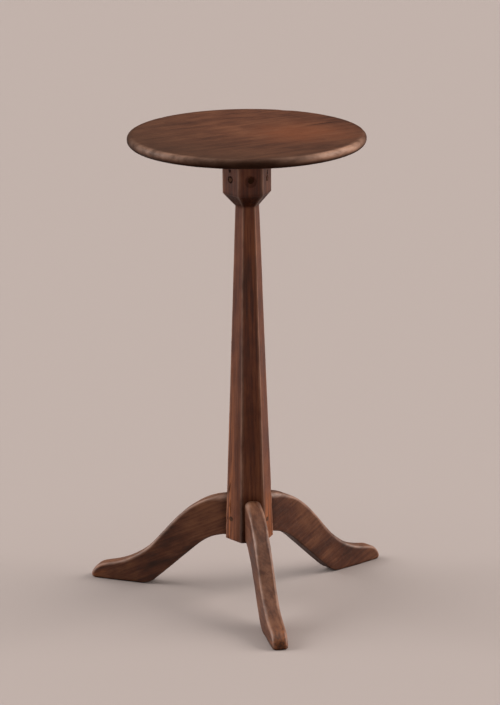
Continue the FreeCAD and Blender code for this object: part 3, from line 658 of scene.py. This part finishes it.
def wood(
    name,
    tones,
    turn,
    shift,
    pith=(0.0, 0.09),
    rings=230.0,
    finish=0.5,
    shine=0.3,
    figure=EVEN_FIGURE,
    spots=(),
    zones=None,
    splits=False,
):
    """Old finished wood whose grain runs along the turned X axis.

    tones: dark, middle and light display colours. pith: where the tree's
    middle lies beside the piece, so ends show arcs and sides show long figure.
    rings: how many to a metre. finish: middle roughness. shine: strength of
    the reflection where clean. figure: shares of streaks, fibres, slow
    blotches and small patches, 1.2 in all. spots: stains round peg ends.
    zones: a function that colours parts of the piece, given the nodes, the
    place, the patches and the base colour. splits: whether bare wood is split.
    """
    n = Nodes(name)
    place = n.add("ShaderNodeTexCoord").outputs["Object"]
    mapping = n.add("ShaderNodeMapping", {"Vector": place}, vector_type="POINT")
    mapping.inputs["Rotation"].default_value = turn
    mapping.inputs["Location"].default_value = shift
    grain = mapping.outputs["Vector"]

    fibre = n.noise(n.scaled(grain, (6.0, 260.0, 260.0)), 1.0, 3.0, 0.6)
    streak = n.noise(n.scaled(grain, (2.6, 60.0, 60.0)), 1.0, 3.0, 0.6)
    pore_noise = n.noise(n.scaled(grain, (55.0, 1500.0, 1500.0)), 1.0, 1.0)
    pores = n.ramp(pore_noise, 0.60, 0.72)
    blotch = n.noise(grain, 12.0, 4.0, 0.6)
    patch = n.noise(n.scaled(grain, (26.0, 60.0, 60.0)), 1.0, 3.0, 0.55)
    scuff = n.noise(n.scaled(grain, (120.0, 60.0, 60.0)), 1.0, 2.0, 0.6)

    tone = n.math("MULTIPLY", late_wood(n, grain, pith, rings), -0.04)
    for layer, share in zip((streak, fibre, blotch, patch), figure):
        tone = n.math("ADD", tone, n.math("MULTIPLY", layer, share))
    dark, middle, light = (colour(*t) for t in tones)
    body = n.mix(n.ramp(tone, 0.42, 0.57), dark, middle)
    body = n.mix(n.ramp(tone, 0.57, 0.74), body, light)
    body = n.mix(n.math("MULTIPLY", pores, 0.35), body, PORE)
    if zones:
        body = zones(n, place, patch, body)

    # Rubbed arrises lightened for wear and as a painted highlight, bare warm wood, then dirt and
    # painted shade with splits and stains
    rub_and_highlight = n.math("MULTIPLY", n.attribute("edge"), n.ramp(patch, 0.34, 0.60, 0.3, 1.0))
    body = n.mix(n.math("MULTIPLY", rub_and_highlight, 0.55, clamp=True), body, RUB_HIGHLIGHT_COLOUR)
    warmth = n.math("MULTIPLY", n.attribute("warm"), n.ramp(fibre, 0.42, 0.58, 0.1, 1.0))
    body = n.mix(n.math("MULTIPLY", warmth, 0.75), body, BARE)
    dirt_and_shade = n.math("MULTIPLY", n.attribute("dirt_and_shade"), n.ramp(blotch, 0.3, 0.6, 0.6, 1.0))
    if splits:
        dirt_and_shade = split_along(n, place, dirt_and_shade)
    dirt_and_shade = stain_round(n, place, dirt_and_shade, spots)
    body = n.mix(n.math("MULTIPLY", dirt_and_shade, 0.88), body, DIRT_AND_SHADE_COLOUR)
    n.put(n.shader.inputs["Base Color"], body)

    rough = n.ramp(blotch, 0.3, 0.7, finish - 0.07, finish + 0.08)
    rough = n.math("ADD", rough, n.math("MULTIPLY", pores, 0.15), clamp=True)
    n.put(n.shader.inputs["Roughness"], rough)
    gloss = n.ramp(dirt_and_shade, 0.0, 0.8, shine, 0.1 * shine)
    n.put(n.shader.inputs["Specular IOR Level"], n.math("ADD", gloss, n.math("MULTIPLY", rub_and_highlight, 0.42)))

    relief = n.math("MULTIPLY", fibre, 2 * figure[1])
    relief = n.math("ADD", relief, n.math("MULTIPLY", streak, 1.5 * figure[0]))
    relief = n.math("SUBTRACT", relief, n.math("MULTIPLY", pores, 0.35))
    relief = n.math("ADD", relief, n.math("MULTIPLY", scuff, 0.9))
    inputs = {"Height": relief, "Strength": 0.5, "Distance": 0.0010}
    bump = n.add("ShaderNodeBump", inputs)
    n.link(bump.outputs["Normal"], n.shader.inputs["Normal"])
    return n.material


def split_along(n, place, dirt_and_shade):
    """Add upright splits to the dirt and painted shade where the wood is bare."""
    split = n.ramp(n.noise(n.scaled(place, (330.0, 330.0, 45.0)), 1.0, 3.0), 0.54, 0.62)
    bare = n.ramp(n.attribute("warm"), 0.65, 1.0)
    return n.math("MAXIMUM", dirt_and_shade, n.math("MULTIPLY", split, bare))


def stain_round(n, place, dirt_and_shade, spots):
    """Add stains to the dirt and painted shade: centre, inner and outer radius and strength of each.
    """
    ragged = n.noise(place, 500.0, 3.0)
    wobble = n.math("MULTIPLY", n.math("SUBTRACT", ragged, 0.5), 0.0036)
    for centre, inner, outer, strength in spots:
        apart = n.add("ShaderNodeVectorMath", {0: place, 1: centre}, operation="DISTANCE")
        distance = n.math("ADD", apart.outputs["Value"], wobble)
        ring = n.ramp(distance, outer, outer - 0.0016)
        if inner:
            ring = n.math("MULTIPLY", ring, n.ramp(distance, inner, inner + 0.0006))
        dirt_and_shade = n.math("MAXIMUM", dirt_and_shade, n.math("MULTIPLY", ring, strength))
    return dirt_and_shade


def board_zones(n, place, patch, base):
    """The board's face: greyed by use in front and on the left, warm where rubbed."""

    def distance(centre):
        apart = n.add("ShaderNodeVectorMath", {0: place, 1: centre}, operation="DISTANCE")
        uneven = n.math("MULTIPLY", n.math("SUBTRACT", patch, 0.5), 0.09)
        return n.math("ADD", apart.outputs["Value"], uneven)

    greyed = n.ramp(distance((0.08, AXIS.y + 0.07, BOARD_TOP)), 0.11, 0.25)
    base = n.mix(n.math("MULTIPLY", greyed, 0.55), base, colour(68, 50, 39))
    warm = n.ramp(distance((0.078, AXIS.y - 0.005, BOARD_TOP)), 0.085, 0.02)
    base = n.mix(n.math("MULTIPLY", warm, 0.4), base, colour(136, 78, 50))

    # An old shrinkage crack near the back on the right
    mapping = n.add("ShaderNodeMapping", {"Vector": place}, vector_type="TEXTURE")
    mapping.inputs["Location"].default_value = (0.116, AXIS.y + 0.042, BOARD_TOP)
    mapping.inputs["Rotation"].default_value = (0, 0, GRAIN_TURN)
    apart = n.add("ShaderNodeSeparateXYZ", {0: mapping.outputs[0]})
    sway = n.math("MULTIPLY", n.math("SUBTRACT", patch, 0.5), 0.004)
    off = n.math("ABSOLUTE", n.math("ADD", apart.outputs[1], sway))
    crack = n.ramp(off, 0.0024, 0.0008)
    crack = n.math("MULTIPLY", crack, n.ramp(n.math("ABSOLUTE", apart.outputs[0]), 0.032, 0.018))
    return n.mix(n.math("MULTIPLY", crack, 0.8), base, colour(30, 16, 10))


def dark_iron(name):
    n = Nodes(name)
    place = n.add("ShaderNodeTexCoord").outputs["Object"]
    rust = n.noise(place, 420.0, 4.0, 0.6)
    base = n.mix(n.ramp(rust, 0.45, 0.7), colour(52, 47, 44), colour(92, 58, 40))
    n.put(n.shader.inputs["Base Color"], base)
    n.shader.inputs["Metallic"].default_value = 0.85
    n.put(n.shader.inputs["Roughness"], n.ramp(rust, 0.4, 0.7, 0.45, 0.75))
    bump = n.add("ShaderNodeBump", {"Height": rust, "Strength": 0.4, "Distance": 0.0003})
    n.link(bump.outputs["Normal"], n.shader.inputs["Normal"])
    return n.material


def dress(piece, material):
    piece.data.materials.clear()
    piece.data.materials.append(material)


def on_face(degrees, z, aside=0.0):
    """Point on one of the head's faces, turned from the front and moved aside."""
    turn = math.radians(degrees)
    out = Vector((math.sin(turn), -math.cos(turn), 0))
    along = Vector((math.cos(turn), math.sin(turn), 0))
    return tuple(AXIS + out * STOCK / 2 + along * aside + Vector((0, 0, z)))


def head_peg_size():
    """Height of the pegs in the post's head, and their radius."""
    low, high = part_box("head_pegs")
    return (low.z + high.z) / 2, (high.z - low.z) / 2


def post_spots():
    """Stains round the pegs in the head, and old nail holes above them."""
    height, peg = head_peg_size()
    return [
        (on_face(-60, height), peg - 0.8 * MM, peg + 2.0 * MM, 1.0),
        (on_face(0, height - 1 * MM), 0, peg + 5.5 * MM, 0.35),
        (on_face(0, height + 2 * MM, 1 * MM), 0, peg + 1.6 * MM, 0.7),
        (on_face(60, height), peg - 0.8 * MM, peg + 0.8 * MM, 0.5),
        (on_face(-60, height + 12.5 * MM, -1 * MM), 0, 3.4 * MM, 0.95),
        (on_face(60, height + 7 * MM, 0.5 * MM), 0, 3.4 * MM, 1.0),
        (on_face(60, height + 10 * MM, 0.5 * MM), 0, 3.2 * MM, 1.0),
    ]


def peg_spots():
    """Dark rims of the head pegs, and a front peg stained all over."""
    height, peg = head_peg_size()
    rings = [(on_face(turn, height), peg - 1.2 * MM, 3 * peg, 0.9) for turn in (-60, 60)]
    return rings + [(on_face(0, height), 0, 3 * peg, 0.7)]


# ---- Making the pieces ------------------------------------------------------

BOARD_TONES = ((62, 38, 29), (91, 56, 41), (117, 75, 54))
POST_TONES = ((51, 22, 10), (90, 44, 22), (127, 74, 45))
LEG_TONES = ((45, 25, 15), (83, 46, 29), (121, 77, 52))
INNER_TONES = ((76, 50, 34), (108, 75, 51), (136, 100, 72))
PEG_TONES = ((60, 38, 26), (92, 62, 44), (120, 84, 60))

board_wood = wood(
    "board_wood",
    BOARD_TONES,
    (0, 0, -GRAIN_TURN),
    (0.31, 0.02, 0.13),
    pith=(0.05, 0.66),
    rings=260,
    finish=0.64,
    shine=0.12,
    figure=(0.22, 0.30, 0.34, 0.34),
    zones=board_zones,
)
dress(make_board(), board_wood)

post_wood = wood(
    "post_wood",
    POST_TONES,
    (0, math.pi / 2, 0),
    (0.4, 0.17, 0.02),
    pith=(0.21, 0.05),
    figure=(0.36, 0.34, 0.26, 0.24),
    shine=0.38,
    spots=post_spots(),
    splits=True,
)
dress(make_post(), post_wood)

for index, (side, degrees) in enumerate(LEG_TURNS.items()):
    turn = math.radians(degrees)
    leg_wood = wood(
        f"leg_{side}_wood",
        LEG_TONES,
        (0, math.radians(28), math.pi / 2 - turn),
        (0.13 * index, 0.21, 0.07 * index),
        pith=(0.12, 0.02),
        figure=(0.18, 0.26, 0.38, 0.38),
    )
    dress(make_leg(side, 40 + 10 * index), leg_wood)

inner_wood = wood("inner_wood", INNER_TONES, (0, 0, math.pi / 2), (0.2, 0.1, 0.3), finish=0.7)
peg_wood = wood(
    "peg_wood",
    PEG_TONES,
    (0, 0, 0),
    (0.1, 0.1, 0.1),
    rings=500,
    finish=0.6,
    shine=0.12,
    spots=peg_spots(),
)
iron = dark_iron("screw_iron")

INNER_NODES = ("pivot_block", "batten_left", "batten_right", "turn_button")
PEG_NODES = ("leg_pegs", "head_pegs", "pivot_pin_left", "pivot_pin_right", "button_spacer")
IRON_NODES = ("batten_screws", "button_screw")


def finish_inner(nodes, material):
    """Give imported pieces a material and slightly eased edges."""
    for node in nodes:
        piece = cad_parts[node]
        piece.data.materials.clear()
        piece.data.materials.append(material)
        ease = piece.modifiers.new("eased_edges", "BEVEL")
        ease.width = 0.5 * MM
        ease.segments = 2
        ease.limit_method = "ANGLE"
        ease.angle_limit = math.radians(50)


finish_inner(INNER_NODES, inner_wood)
finish_inner(PEG_NODES, peg_wood)
finish_inner(IRON_NODES, iron)

# ---- Floor, light and camera ------------------------------------------------

# The camera stands about five metres off, turned so that the front leg comes
# forward and a little to the right
CAMERA_TURN = math.radians(-10.0)
CAMERA_DISTANCE = 5.077
CAMERA_HEIGHT = 1.808
CAMERA_SHIFT = 0.0026
CAMERA_DOWN = math.radians(15.87)
CAMERA_ROLL = math.radians(-0.4)
SENSOR = 36.0
LENS = 188.0


def make_floor():
    half = 60.0
    corners = [(-half, -half, 0), (half, -half, 0), (half, half, 0), (-half, half, 0)]
    mesh = bpy.data.meshes.new("floor")
    mesh.from_pydata(corners, [], [(0, 1, 2, 3)])
    floor = bpy.data.objects.new("floor", mesh)
    bpy.context.scene.collection.objects.link(floor)
    n = Nodes("floor_paper")
    n.shader.inputs["Base Color"].default_value = colour(177, 163, 157)
    n.shader.inputs["Roughness"].default_value = 0.9
    n.shader.inputs["Specular IOR Level"].default_value = 0.1
    mesh.materials.append(n.material)


def add_sun(name, turn, height, strength, spread, tint=(1, 1, 1)):
    """Large soft light far away, turned from the camera and raised by degrees."""
    data = bpy.data.lights.new(name, "SUN")
    data.energy = strength
    data.angle = math.radians(spread)
    data.color = tint
    light = bpy.data.objects.new(name, data)
    bpy.context.scene.collection.objects.link(light)
    turn = CAMERA_TURN + math.radians(turn)
    height = math.radians(height)
    level = math.cos(height)
    towards = Vector((math.sin(turn) * level, -math.cos(turn) * level, math.sin(height)))
    light.rotation_euler = towards.to_track_quat("Z", "Y").to_euler()


def make_lights():
    add_sun("left_light", -98, 27, 2.4, 50)
    add_sun("right_light", 95, 27, 3.0, 50, (1.0, 0.97, 0.94))
    add_sun("back_light", 180, 80, 1.1, 80)
    world = bpy.data.worlds.new("studio")
    world.use_nodes = True
    background = world.node_tree.nodes["Background"]
    background.inputs["Color"].default_value = (1.0, 0.97, 0.95, 1)
    background.inputs["Strength"].default_value = 0.08
    bpy.context.scene.world = world


def make_camera():
    data = bpy.data.cameras.new("camera")
    data.sensor_width = SENSOR
    data.lens = LENS
    data.clip_end = 60
    camera = bpy.data.objects.new("camera", data)
    bpy.context.scene.collection.objects.link(camera)
    back = Vector((math.sin(CAMERA_TURN), -math.cos(CAMERA_TURN), 0))
    right = Vector((math.cos(CAMERA_TURN), math.sin(CAMERA_TURN), 0))
    camera.location = AXIS + back * CAMERA_DISTANCE + right * CAMERA_SHIFT
    camera.location.z = CAMERA_HEIGHT
    ahead = -back * math.cos(CAMERA_DOWN) - Vector((0, 0, math.sin(CAMERA_DOWN)))
    look = ahead.to_track_quat("-Z", "Y")
    camera.rotation_mode = "QUATERNION"
    roll = Quaternion((0, 0, 1), CAMERA_ROLL)
    camera.rotation_quaternion = look @ roll
    bpy.context.scene.camera = camera


make_floor()
make_lights()
make_camera()
bpy.context.scene.view_settings.view_transform = "Standard"
